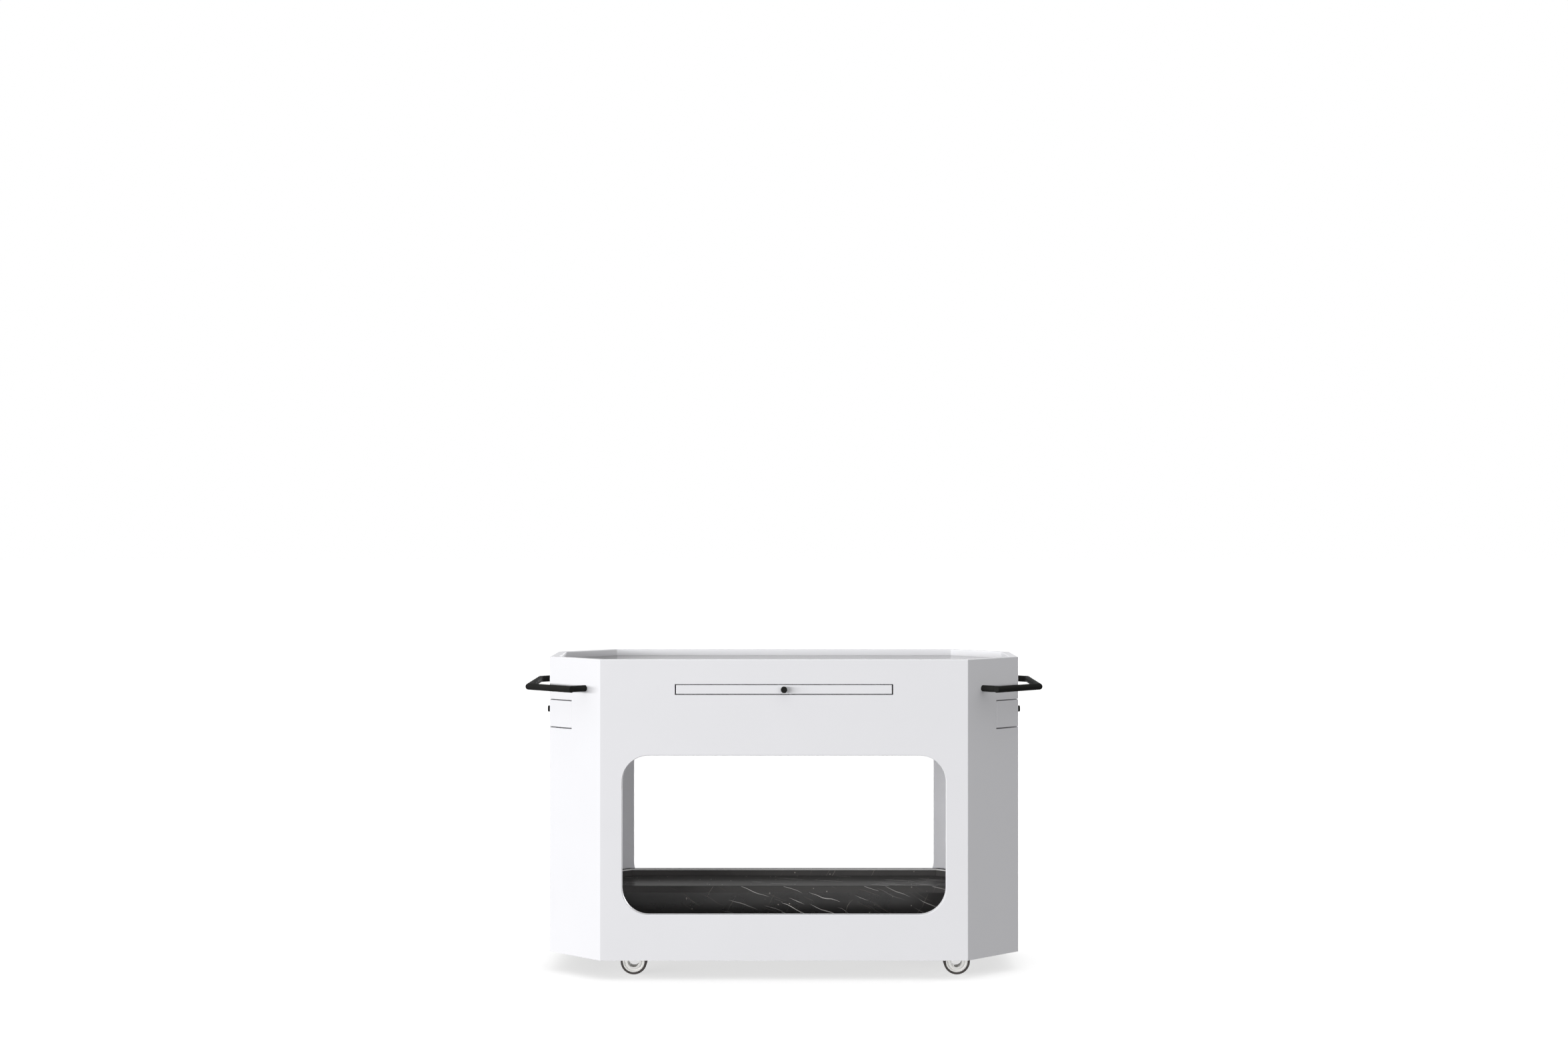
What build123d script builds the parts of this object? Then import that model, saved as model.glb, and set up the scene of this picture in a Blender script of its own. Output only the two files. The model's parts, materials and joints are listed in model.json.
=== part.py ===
from build123d import *
import math
import os

# Bar cart on four swivel casters: an eight-sided lacquered cabinet with a see-through bottle bay,
# a recessed stone worktop, a pull-out board in the front and a wrap-round drawer at each end.
# Millimetres. +X runs along the cart, -Y is its front, +Z is up, and the floor is at zero.

# Cabinet walls
CART_HEIGHT = 900.0
BODY_LENGTH = 1344.0
BODY_DEPTH = 600.0
CORNER_CUT = 155.0
WALL = 25.0
SKIRT_Z = 54.0
CORNER_RADIUS = 4.0
EDGE_RADIUS = 2.0

# Window through the front and the rear wall
WINDOW_WIDTH = 910.6
WINDOW_BOTTOM = 182.4
WINDOW_TOP = 630.0
WINDOW_RADIUS = 75.0

# Boards inside the cabinet
BOARD = 18.0
BATTEN = 18.0
BOARD_GAP = 0.5
DECK_Z = 652.0
WORKTOP_TOP = 882.0
WORKTOP_THICKNESS = 20.0
WORKTOP_GAP = 1.0
LONG_BATTEN = 960.0
END_BATTEN = 240.0

# Stone bottle bay: a low trough in front and a step behind it
SLAB = 20.0
SLAB_GAP = 1.0
STEP_TOP = 216.8
RISER_Y = 31.0
STONE_EDGE = 1.5
LIP_HEIGHT = 20.4
LIP_WIDTH = 22.0
LIP_BEVEL = 3.3
LIP_REAR_Y = 270.0
LIP_END_X = 642.0
LIP_CORNER_GAP = 30.4
LIP_JOINT = 0.5

# Pull-out board in the front wall
PULLOUT_WIDTH = 610.0
PULLOUT_BOTTOM = 801.7
PULLOUT_TOP = 829.5
PULLOUT_GAP = 2.5
PULLOUT_SIDE_GAP = 3.6
PULLOUT_FRONT = 20.0
TRAY_WIDTH = 580.0
TRAY_DEPTH = 400.0
RUNNER_WIDTH = 22.0
RUNNER_GROOVE = 9.0
RUNNER_LENGTH = 425.0
RUNNER_PLAY = 0.4
RUNNER_LEDGE = 6.0

# Wrap-round drawer at each end
DRAWER_BOTTOM = 698.8
DRAWER_TOP = 778.0
DRAWER_WIDTH = 425.4
DRAWER_GAP = 3.0
DRAWER_SIDE_GAP = 1.2
DRAWER_FRONT = 20.0
BOX_WIDTH = 360.0
BOX_BACK_X = 262.0
BOX_WALL = 12.0
BOX_BOTTOM_Z = 706.0
BOX_HEIGHT = 62.0
BOX_FLOOR = 9.0
BOX_FLOOR_RAISE = 6.0

# Telescopic slide, 12.7 wide: three channels nested in each other, and the board that carries it
SLIDE_WIDTH = 12.7
SLIDE_GAUGE = 1.4
SLIDE_HEIGHT = 35.0
SLIDE_PLAY = 0.8
SLIDE_LENGTH = 338.0
SLIDE_REAR_X = 230.0
SLIDE_LAP = 3.0
RUNNER_BOARD_HEIGHT = 110.0

# Knobs and end handles
KNOB_DIAMETER = 18.0
KNOB_LENGTH = 18.4
KNOB_FOOT = 12.0
KNOB_NECK = 9.0
KNOB_NECK_LENGTH = 3.0
KNOB_EDGE = 2.0
DRAWER_KNOB_Z = 740.5
HANDLE_DIAMETER = 18.6
HANDLE_STUB = 18.0
HANDLE_Z = 816.3
HANDLE_STANDOFF = 62.0
HANDLE_OVERRUN = 15.5
HANDLE_FOOT_X = 562.6
HANDLE_END_X = 729.2
BOLT_DIAMETER = 8.0
BOLT_HOLE = 8.6
BOLT_GRIP = 22.0
BOLT_HEAD = 14.0
BOLT_HEAD_HEIGHT = 5.0

# Casters: a swivel fork between two ring wheels on one hollow axle
CASTER_X = 459.0
CASTER_Y = 194.0
CASTER_HEIGHT = 96.0
TRAIL = 32.0
WHEEL_DIAMETER = 75.0
WHEEL_WIDTH = 45.0
TYRE_THICKNESS = 6.3
TYRE_WIDTH = 12.0
TYRE_SHOULDER = 2.0
RIM_WIDTH = 13.0
RIM_RECESS = 2.0
AXLE_BORE = 33.0
AXLE_DIAMETER = 41.2
AXLE_FLANGE = 45.2
AXLE_FLANGE_THICKNESS = 1.6
AXLE_FACE_DROP = 0.4
FLANGE_GROOVE = 3.6
RUNNING_GAP = 0.4
FORK_WEB = 14.0
FORK_RING = 58.0
FORK_HEAD = 28.0
FORK_HEAD_TOP = 88.0
FORK_HEAD_BOTTOM = 77.5
HOOD_GAP = 2.0
HOOD_THICKNESS = 2.5
HOOD_START = 10.0
HOOD_SWEEP = 160.0
PLATE_SIZE = 64.0
PLATE_THICKNESS = 4.0
PLATE_RADIUS = 8.0
PLATE_HOLE = 6.4
PLATE_HOLE_SPACING = 46.0
PIN_DIAMETER = 8.0
PIN_LENGTH = 22.0
PIN_PLAY = 0.3
BEARING_DIAMETER = 26.0
BEARING_BORE = 10.0

# Places worked out from the sizes above
BASE_Z = CASTER_HEIGHT
STONE_Z = BASE_Z + BOARD
WORKTOP_Z = WORKTOP_TOP - WORKTOP_THICKNESS
DECK_TOP = DECK_Z + BOARD
PULLOUT_Z = (PULLOUT_BOTTOM + PULLOUT_TOP) / 2
DRAWER_Z = (DRAWER_BOTTOM + DRAWER_TOP) / 2
OPENING_BOTTOM = DRAWER_BOTTOM - DRAWER_GAP / 2
OPENING_TOP = DRAWER_TOP + DRAWER_GAP / 2
WHEEL_RADIUS = WHEEL_DIAMETER / 2
RIM_RADIUS = WHEEL_RADIUS - TYRE_THICKNESS
SIDES = ["front", "front_right", "right_end", "rear_right", "rear", "rear_left", "left_end", "front_left"]
CASTERS = {
    "front_left": (-CASTER_X, -CASTER_Y),
    "front_right": (CASTER_X, -CASTER_Y),
    "rear_left": (-CASTER_X, CASTER_Y),
    "rear_right": (CASTER_X, CASTER_Y),
}

os.makedirs("parts", exist_ok=True)


def save(part, name):
    """Label one finished piece and write it under its own name."""
    part.label = name
    export_step(part, f"parts/{name}.step")


def flipped(part):
    """The same piece for the other end of the cart."""
    return mirror(part, about=Plane.YZ)


def octagon(inset):
    """Corners of the cabinet's plan with every side moved in, from the front left corner round."""
    half_length = BODY_LENGTH / 2 - inset
    half_depth = BODY_DEPTH / 2 - inset
    reach = (BODY_LENGTH + BODY_DEPTH) / 2 - CORNER_CUT - inset * math.sqrt(2)
    x = reach - half_depth
    y = reach - half_length
    right = [Vector(x, -half_depth), Vector(half_length, -y), Vector(half_length, y), Vector(x, half_depth)]
    left = [Vector(-point.X, point.Y) for point in reversed(right)]
    return [left[-1]] + right + left[:-1]


def ring_plan(thickness):
    """Plan of the whole wall, with its outer corners eased."""
    with BuildSketch() as plan:
        Polygon(*octagon(0), align=None)
        fillet(plan.vertices(), CORNER_RADIUS)
        Polygon(*octagon(thickness), align=None, mode=Mode.SUBTRACT)
    return plan.sketch


def wall_panel(side, bottom=SKIRT_Z, top=CART_HEIGHT):
    """One wall board, mitred to its neighbours at both corners."""
    outer = octagon(0)
    inner = octagon(WALL)
    first = SIDES.index(side)
    second = (first + 1) % len(SIDES)
    mitres = {corner: outer[corner] - inner[corner] for corner in (first, second)}
    wedge = [outer[first] + mitres[first], outer[second] + mitres[second]]
    wedge += [inner[second] - mitres[second], inner[first] - mitres[first]]
    with BuildPart() as panel:
        with BuildSketch(Plane.XY.offset(bottom)):
            add(ring_plan(WALL))
            Polygon(*wedge, align=None, mode=Mode.INTERSECT)
        extrude(amount=top - bottom)
        if top == CART_HEIGHT:
            along = (outer[second] - outer[first]).normalized()
            rim = panel.edges().group_by(Axis.Z)[-1]
            eased = [e for e in rim if e.geom_type == GeomType.CIRCLE or abs((e % 0.5).dot(along)) > 0.99]
            fillet(eased, EDGE_RADIUS)
    return panel.part


def inner_board(bottom, thickness, gap):
    """A flat board that fills the cabinet's plan, a little clear of the walls."""
    with BuildPart() as board:
        with BuildSketch(Plane.XY.offset(bottom)):
            Polygon(*octagon(WALL + gap), align=None)
        extrude(amount=thickness)
    return board.part


def window_outline(wall_face):
    """The rounded window, drawn on the outer face of a wall."""
    with BuildSketch(wall_face) as window:
        with Locations((0, (WINDOW_BOTTOM + WINDOW_TOP) / 2)):
            RectangleRounded(WINDOW_WIDTH, WINDOW_TOP - WINDOW_BOTTOM, WINDOW_RADIUS)
    return window.sketch


# Front wall, with the window and the slot for the pull-out board
with BuildPart() as front_panel:
    add(wall_panel("front"))
    front_face = Plane.XZ.offset(BODY_DEPTH / 2)
    extrude(window_outline(front_face), amount=-WALL, mode=Mode.SUBTRACT)
    fillet(front_panel.edges(Select.LAST).group_by(Axis.Y)[0], EDGE_RADIUS)
    with BuildSketch(front_face):
        with Locations((0, PULLOUT_Z)):
            Rectangle(PULLOUT_WIDTH + PULLOUT_SIDE_GAP, PULLOUT_TOP - PULLOUT_BOTTOM + PULLOUT_GAP)
    extrude(amount=-WALL, mode=Mode.SUBTRACT)
save(front_panel.part, "front_panel")

# Rear wall, with the same window
with BuildPart() as rear_panel:
    add(wall_panel("rear"))
    extrude(window_outline(Plane.XZ.offset(-BODY_DEPTH / 2)), amount=WALL, mode=Mode.SUBTRACT)
    fillet(rear_panel.edges(Select.LAST).group_by(Axis.Y)[-1], EDGE_RADIUS)
save(rear_panel.part, "rear_panel")

# Where the right handle's front stub meets the corner wall, and the way it points
HANDLE_FOOT = Vector(HANDLE_FOOT_X, CORNER_CUT + HANDLE_FOOT_X - (BODY_LENGTH + BODY_DEPTH) / 2, HANDLE_Z)
OUTWARD = Vector(1, -1, 0).normalized()

# Right front corner wall, notched for the drawer and bored for the handle's bolt
with BuildPart() as corner_panel:
    add(wall_panel("front_right"))
    with BuildSketch(Plane.XY.offset(OPENING_BOTTOM)):
        with Locations((BODY_LENGTH / 2, 0)):
            Rectangle(BODY_DEPTH, DRAWER_WIDTH + DRAWER_SIDE_GAP)
    extrude(amount=OPENING_TOP - OPENING_BOTTOM, mode=Mode.SUBTRACT)
    with BuildSketch(Plane(HANDLE_FOOT, z_dir=OUTWARD)):
        Circle(BOLT_HOLE / 2)
    extrude(amount=-WALL, mode=Mode.SUBTRACT)
rear_corner = mirror(corner_panel.part, about=Plane.XZ)
save(corner_panel.part, "front_right_corner_panel")
save(rear_corner, "rear_right_corner_panel")
save(flipped(corner_panel.part), "front_left_corner_panel")
save(flipped(rear_corner), "rear_left_corner_panel")

# End walls, above and below the drawer
for end, side in (("left", "left_end"), ("right", "right_end")):
    save(wall_panel(side, top=OPENING_BOTTOM), f"{end}_end_lower_panel")
    save(wall_panel(side, bottom=OPENING_TOP), f"{end}_end_upper_panel")

# Worktop, the deck under the drawers, and the base that carries the casters
with BuildPart() as worktop_slab:
    add(inner_board(WORKTOP_Z, WORKTOP_THICKNESS, WORKTOP_GAP))
    chamfer(worktop_slab.faces().sort_by(Axis.Z)[-1].edges(), STONE_EDGE)
save(worktop_slab.part, "worktop_slab")
save(inner_board(DECK_Z, BOARD, BOARD_GAP), "drawer_deck")
save(inner_board(BASE_Z, BOARD, BOARD_GAP), "base_board")

# Battens along the walls, under each of those boards
INSIDE_Y = BODY_DEPTH / 2 - WALL
INSIDE_X = BODY_LENGTH / 2 - WALL
SHORT_BATTEN = (LONG_BATTEN - PULLOUT_WIDTH) / 2 - RUNNER_WIDTH
with BuildPart() as wall_battens:
    for under in (BASE_Z, DECK_Z, WORKTOP_Z):
        with BuildSketch(Plane.XY.offset(under)):
            with Locations((0, INSIDE_Y - BATTEN / 2)):
                Rectangle(LONG_BATTEN, BATTEN)
            with Locations((INSIDE_X - BATTEN / 2, 0), (BATTEN / 2 - INSIDE_X, 0)):
                Rectangle(BATTEN, END_BATTEN)
            if under == WORKTOP_Z:
                batten_x = (LONG_BATTEN - SHORT_BATTEN) / 2
                with Locations((batten_x, BATTEN / 2 - INSIDE_Y), (-batten_x, BATTEN / 2 - INSIDE_Y)):
                    Rectangle(SHORT_BATTEN, BATTEN)
            else:
                with Locations((0, BATTEN / 2 - INSIDE_Y)):
                    Rectangle(LONG_BATTEN, BATTEN)
        extrude(amount=-BATTEN)
save(wall_battens.part, "wall_battens")


def stone_plan(front, rear):
    """Plan of a slab that reaches from wall to wall between two depths."""
    with BuildSketch() as plan:
        Polygon(*octagon(WALL + SLAB_GAP), align=None)
        with Locations((0, (front + rear) / 2)):
            Rectangle(BODY_LENGTH, rear - front, mode=Mode.INTERSECT)
    return plan.sketch


# Trough floor, the riser behind it and the step shelf on top of the riser
with BuildPart() as trough_floor_slab:
    with BuildSketch(Plane.XY.offset(STONE_Z)):
        add(stone_plan(-BODY_DEPTH / 2, RISER_Y))
    extrude(amount=SLAB)
save(trough_floor_slab.part, "trough_floor_slab")

with BuildPart() as step_riser_slab:
    with BuildSketch(Plane.XY.offset(STONE_Z)):
        add(stone_plan(RISER_Y, RISER_Y + SLAB))
    extrude(amount=STEP_TOP - SLAB - STONE_Z)
save(step_riser_slab.part, "step_riser_slab")

with BuildPart() as step_shelf_slab:
    with BuildSketch(Plane.XY.offset(STEP_TOP - SLAB)):
        add(stone_plan(RISER_Y, BODY_DEPTH / 2))
    extrude(amount=SLAB)
    chamfer(step_shelf_slab.edges().group_by(Axis.Y)[0].sort_by(Axis.Z)[-1], STONE_EDGE)
save(step_shelf_slab.part, "step_shelf_slab")

# Battens that carry the back and the ends of the step shelf
with BuildPart() as shelf_battens:
    with BuildSketch(Plane.XY.offset(STEP_TOP - SLAB)):
        with Locations((0, INSIDE_Y - BATTEN / 2)):
            Rectangle(LONG_BATTEN, BATTEN)
        end_batten = END_BATTEN / 2 - RISER_Y - SLAB
        end_y = RISER_Y + SLAB + end_batten / 2
        with Locations((INSIDE_X - BATTEN / 2, end_y), (BATTEN / 2 - INSIDE_X, end_y)):
            Rectangle(BATTEN, end_batten)
    extrude(amount=-BATTEN)
save(shelf_battens.part, "shelf_battens")


def lip_outline(inset):
    """Half outline of the raised lip, from the step's right end round to the middle of the back."""
    reach = (BODY_LENGTH + BODY_DEPTH) / 2 - CORNER_CUT - (WALL + LIP_CORNER_GAP + inset) * math.sqrt(2)
    end_x = LIP_END_X - inset
    rear_y = LIP_REAR_Y - inset
    return [(end_x, RISER_Y), (end_x, reach - end_x), (reach - rear_y, rear_y), (0, rear_y)]


# Raised lip round the back of the step: five bevelled strips, mitred, with a fine joint between them
with BuildPart() as shelf_lips:
    with BuildSketch(Plane.XY.offset(STEP_TOP)) as lip_plan:
        Polygon(*lip_outline(0), *reversed(lip_outline(LIP_WIDTH)), align=None)
        mirror(about=Plane.YZ)
        for outside, inside in list(zip(lip_outline(0), lip_outline(LIP_WIDTH)))[1:3]:
            joint = Vector(*outside) - Vector(*inside)
            middle = Vector(*inside) + joint / 2
            angle = math.degrees(math.atan2(joint.Y, joint.X))
            with Locations(Location((middle.X, middle.Y, 0), angle)):
                Rectangle(2 * LIP_WIDTH, LIP_JOINT, mode=Mode.SUBTRACT)
            with Locations(Location((-middle.X, middle.Y, 0), -angle)):
                Rectangle(2 * LIP_WIDTH, LIP_JOINT, mode=Mode.SUBTRACT)
    extrude(amount=LIP_HEIGHT)
    step_middle = Vertex(0, RISER_Y, STEP_TOP)
    tops = shelf_lips.faces().group_by(Axis.Z)[-1]
    long_edges = [top.edges().sort_by(SortBy.LENGTH)[-2:].sort_by_distance(step_middle) for top in tops]
    chamfer([inner for inner, outer in long_edges], LIP_BEVEL)
    chamfer([outer for inner, outer in long_edges], STONE_EDGE)
save(shelf_lips.part, "shelf_lips")

# Knob, turned about its own axis, with its foot at the origin
with BuildPart() as knob:
    with BuildSketch(Plane.XZ) as knob_profile:
        with BuildLine():
            side_end = (KNOB_DIAMETER / 2, KNOB_LENGTH - KNOB_EDGE)
            crown_edge = (KNOB_DIAMETER / 2 - KNOB_EDGE, KNOB_LENGTH)
            Polyline(
                crown_edge,
                (0, KNOB_LENGTH),
                (0, 0),
                (KNOB_FOOT / 2, 0),
                (KNOB_NECK / 2, KNOB_NECK_LENGTH),
                (KNOB_DIAMETER / 2, KNOB_NECK_LENGTH + KNOB_EDGE),
                side_end,
            )
            RadiusArc(side_end, crown_edge, -KNOB_EDGE)
        make_face()
    revolve(axis=Axis.Z)

# Pull-out board: lacquered front, wooden board, knob, and the grooved runners it slides in
with BuildPart() as pullout_front:
    with BuildSketch(Plane.XZ.offset(BODY_DEPTH / 2)):
        with Locations((0, PULLOUT_Z)):
            Rectangle(PULLOUT_WIDTH - PULLOUT_SIDE_GAP, PULLOUT_TOP - PULLOUT_BOTTOM - PULLOUT_GAP)
    extrude(amount=-PULLOUT_FRONT)
    chamfer(pullout_front.faces().sort_by(Axis.Y)[0].edges(), EDGE_RADIUS / 2)
save(pullout_front.part, "pullout_front")

with BuildPart() as pullout_board:
    with BuildSketch(Plane.XY.offset(PULLOUT_Z - BOARD / 2)):
        with Locations((0, PULLOUT_FRONT - BODY_DEPTH / 2 + TRAY_DEPTH / 2)):
            Rectangle(TRAY_WIDTH, TRAY_DEPTH)
    extrude(amount=BOARD)
save(pullout_board.part, "pullout_board")
save(knob.part.moved(Plane((0, -BODY_DEPTH / 2, PULLOUT_Z), z_dir=(0, -1, 0)).location), "pullout_knob")

RUNNER_INNER = TRAY_WIDTH / 2 + RUNNER_PLAY - RUNNER_GROOVE
with BuildPart() as pullout_runners:
    with BuildSketch(Plane.XZ.offset(INSIDE_Y)):
        runner_bottom = PULLOUT_Z - BOARD / 2 - RUNNER_LEDGE
        with Locations((RUNNER_INNER + RUNNER_WIDTH / 2, (runner_bottom + WORKTOP_Z) / 2)):
            Rectangle(RUNNER_WIDTH, WORKTOP_Z - runner_bottom)
        with Locations((RUNNER_INNER + RUNNER_GROOVE / 2, PULLOUT_Z)):
            Rectangle(RUNNER_GROOVE, BOARD + 2 * RUNNER_PLAY, mode=Mode.SUBTRACT)
        mirror(about=Plane.YZ)
    extrude(amount=-RUNNER_LENGTH)
save(pullout_runners.part, "pullout_runners")


def stands_out(point):
    """How far a point stands out from the end wall and the corner walls, negative inside them."""
    past_end = abs(point.X) - BODY_LENGTH / 2
    past_corner = abs(point.X) + abs(point.Y) + CORNER_CUT - (BODY_LENGTH + BODY_DEPTH) / 2
    return max(past_end, past_corner / math.sqrt(2))


# Right drawer: one front that wraps round the end wall and both corner walls, its outer edges eased
with BuildPart() as drawer_front:
    with BuildSketch(Plane.XY.offset(DRAWER_BOTTOM + DRAWER_GAP / 2)):
        add(ring_plan(DRAWER_FRONT))
        with Locations((BODY_LENGTH / 2, 0)):
            Rectangle(BODY_DEPTH, DRAWER_WIDTH - DRAWER_SIDE_GAP, mode=Mode.INTERSECT)
    extrude(amount=DRAWER_TOP - DRAWER_BOTTOM - DRAWER_GAP)
    for across, ease in ((Axis.Y, EDGE_RADIUS), (Axis.Z, EDGE_RADIUS / 2)):
        outer_edges = drawer_front.edges().filter_by(lambda edge: stands_out(edge @ 0.5) > -CORNER_RADIUS)
        rows = outer_edges.group_by(across)
        chamfer(rows[0] + rows[-1], ease)

# Its box: two sides cut to the slope of the front, a back and a floor
BOX_HALF = BOX_WIDTH / 2
FRONT_REACH = octagon(DRAWER_FRONT)[2].X - octagon(DRAWER_FRONT)[2].Y
BOX_INNER = BOX_HALF - BOX_WALL
with BuildPart() as drawer_walls:
    with BuildSketch(Plane.XY.offset(BOX_BOTTOM_Z)):
        slope = [(FRONT_REACH - BOX_INNER, BOX_INNER), (FRONT_REACH - BOX_HALF, BOX_HALF)]
        Polygon((BOX_BACK_X, BOX_INNER), *slope, (BOX_BACK_X, BOX_HALF), align=None)
        mirror(about=Plane.XZ)
        with Locations((BOX_BACK_X + BOX_WALL / 2, 0)):
            Rectangle(BOX_WALL, 2 * (BOX_INNER - BOARD_GAP))
    extrude(amount=BOX_HEIGHT)

with BuildPart() as drawer_floor:
    with BuildSketch(Plane.XY.offset(BOX_BOTTOM_Z + BOX_FLOOR_RAISE)):
        Polygon(*octagon(DRAWER_FRONT), align=None)
        floor_front = BODY_LENGTH / 2
        floor_back = BOX_BACK_X + BOX_WALL
        with Locations(((floor_front + floor_back) / 2, 0)):
            Rectangle(floor_front - floor_back, 2 * BOX_INNER, mode=Mode.INTERSECT)
    extrude(amount=BOX_FLOOR)

right_knob = knob.part.moved(Plane((BODY_LENGTH / 2, 0, DRAWER_KNOB_Z), z_dir=(1, 0, 0)).location)


def slide_channel(web, tip, half_height):
    """A pair of folded channels along X, one on each side of a drawer.

    web is the distance from the drawer's centre line to the channel's outer back face, and tip to its lips.
    """
    inward = math.copysign(1, tip - web)
    with BuildPart() as channel:
        with BuildSketch(Plane.YZ.offset(SLIDE_REAR_X)):
            with Locations(((web + tip) / 2, DRAWER_Z)):
                Rectangle(abs(web - tip), 2 * half_height)
            with Locations(((web + tip) / 2 + inward * SLIDE_GAUGE, DRAWER_Z)):
                Rectangle(abs(web - tip), 2 * (half_height - SLIDE_GAUGE), mode=Mode.SUBTRACT)
            mirror(about=Plane.YZ)
        extrude(amount=SLIDE_LENGTH)
    return channel.part


# Telescopic slides: the channel on the cabinet, the middle one, and the one on the drawer
SLIDE_OUT = BOX_HALF + SLIDE_WIDTH
STEP_IN = SLIDE_GAUGE + SLIDE_PLAY
slide_cabinet = slide_channel(SLIDE_OUT, BOX_HALF + SLIDE_LAP, SLIDE_HEIGHT / 2)
slide_middle = slide_channel(SLIDE_OUT - STEP_IN, BOX_HALF + SLIDE_LAP, SLIDE_HEIGHT / 2 - STEP_IN)
slide_inner = slide_channel(BOX_HALF, SLIDE_OUT - SLIDE_LAP - STEP_IN, SLIDE_HEIGHT / 2 - 2 * STEP_IN)

drawer_pieces = {
    "drawer_front": drawer_front.part,
    "drawer_walls": drawer_walls.part,
    "drawer_floor": drawer_floor.part,
    "drawer_knob": right_knob,
    "slide_inner_members": slide_inner,
    "slide_middle_members": slide_middle,
    "slide_cabinet_members": slide_cabinet,
}
for piece, part in drawer_pieces.items():
    save(part, f"right_{piece}")
    save(flipped(part), f"left_{piece}")

# Boards that stand on the deck and carry the slides
with BuildPart() as runner_boards:
    with BuildSketch(Plane.XY.offset(DECK_TOP)):
        with Locations((SLIDE_REAR_X + SLIDE_LENGTH / 2, SLIDE_OUT + BOARD / 2)):
            Rectangle(SLIDE_LENGTH, BOARD)
        mirror(about=Plane.XZ)
        mirror(about=Plane.YZ)
    extrude(amount=RUNNER_BOARD_HEIGHT)
save(runner_boards.part, "drawer_runner_boards")

# Right handle: a round bar in three mitred runs, cut square at both ends and welded to two stubs.
# The stubs stand on the corner walls, a little short of the bar's ends, and are bored for their bolts.
WELD = HANDLE_FOOT + OUTWARD * HANDLE_STANDOFF
ALONG = Vector(1, 1, 0).normalized()
HANDLE_TIP = WELD - ALONG * HANDLE_OVERRUN
HANDLE_BEND = Vector(HANDLE_END_X, WELD.Y + HANDLE_END_X - WELD.X, HANDLE_Z)
half_route = [HANDLE_TIP, HANDLE_BEND]
with BuildPart() as handle:
    with BuildLine() as handle_route:
        Polyline(*half_route, *[Vector(p.X, -p.Y, p.Z) for p in reversed(half_route)])
    with BuildSketch(Plane(HANDLE_TIP, z_dir=ALONG)):
        Circle(HANDLE_DIAMETER / 2)
    sweep(transition=Transition.RIGHT)
    chamfer(handle.edges().filter_by(GeomType.CIRCLE), EDGE_RADIUS / 2)
    for side in (1, -1):
        foot = Vector(HANDLE_FOOT.X, side * HANDLE_FOOT.Y, HANDLE_Z)
        foot_face = Plane(foot, z_dir=(OUTWARD.X, side * OUTWARD.Y, 0))
        with BuildSketch(foot_face):
            Circle(HANDLE_STUB / 2)
        extrude(amount=HANDLE_STANDOFF)
        with BuildSketch(foot_face):
            Circle(BOLT_DIAMETER / 2)
        extrude(amount=BOLT_GRIP, mode=Mode.SUBTRACT)
save(handle.part, "right_handle")
save(flipped(handle.part), "left_handle")

# Bolts through the corner walls into the handles' feet
with BuildPart() as handle_bolts:
    with BuildSketch(Plane(HANDLE_FOOT - OUTWARD * WALL, z_dir=OUTWARD)):
        Circle(BOLT_DIAMETER / 2)
    extrude(amount=WALL + BOLT_GRIP)
    with BuildSketch(Plane(HANDLE_FOOT - OUTWARD * WALL, z_dir=OUTWARD)):
        RegularPolygon(BOLT_HEAD / 2, 6)
    extrude(amount=-BOLT_HEAD_HEIGHT)
    mirror(about=Plane.XZ)
    mirror(about=Plane.YZ)
save(handle_bolts.part, "handle_bolts")

# Caster mounting plates with their swivel pins, and the thrust bearings under them
with BuildPart() as caster_plates:
    for place in CASTERS.values():
        with BuildSketch(Plane((*place, CASTER_HEIGHT))):
            RectangleRounded(PLATE_SIZE, PLATE_SIZE, PLATE_RADIUS)
            with GridLocations(PLATE_HOLE_SPACING, PLATE_HOLE_SPACING, 2, 2):
                Circle(PLATE_HOLE / 2, mode=Mode.SUBTRACT)
        extrude(amount=-PLATE_THICKNESS)
        with BuildSketch(Plane((*place, CASTER_HEIGHT - PLATE_THICKNESS))):
            Circle(PIN_DIAMETER / 2)
        extrude(amount=-PIN_LENGTH)
save(caster_plates.part, "caster_plates")

BEARING_BOTTOM = FORK_HEAD_TOP + RUNNING_GAP
with BuildPart() as swivel_bearings:
    for place in CASTERS.values():
        with BuildSketch(Plane((*place, BEARING_BOTTOM))):
            Circle(BEARING_DIAMETER / 2)
            Circle(BEARING_BORE / 2, mode=Mode.SUBTRACT)
        extrude(amount=CASTER_HEIGHT - PLATE_THICKNESS - BEARING_BOTTOM)
save(swivel_bearings.part, "swivel_bearings")

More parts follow.
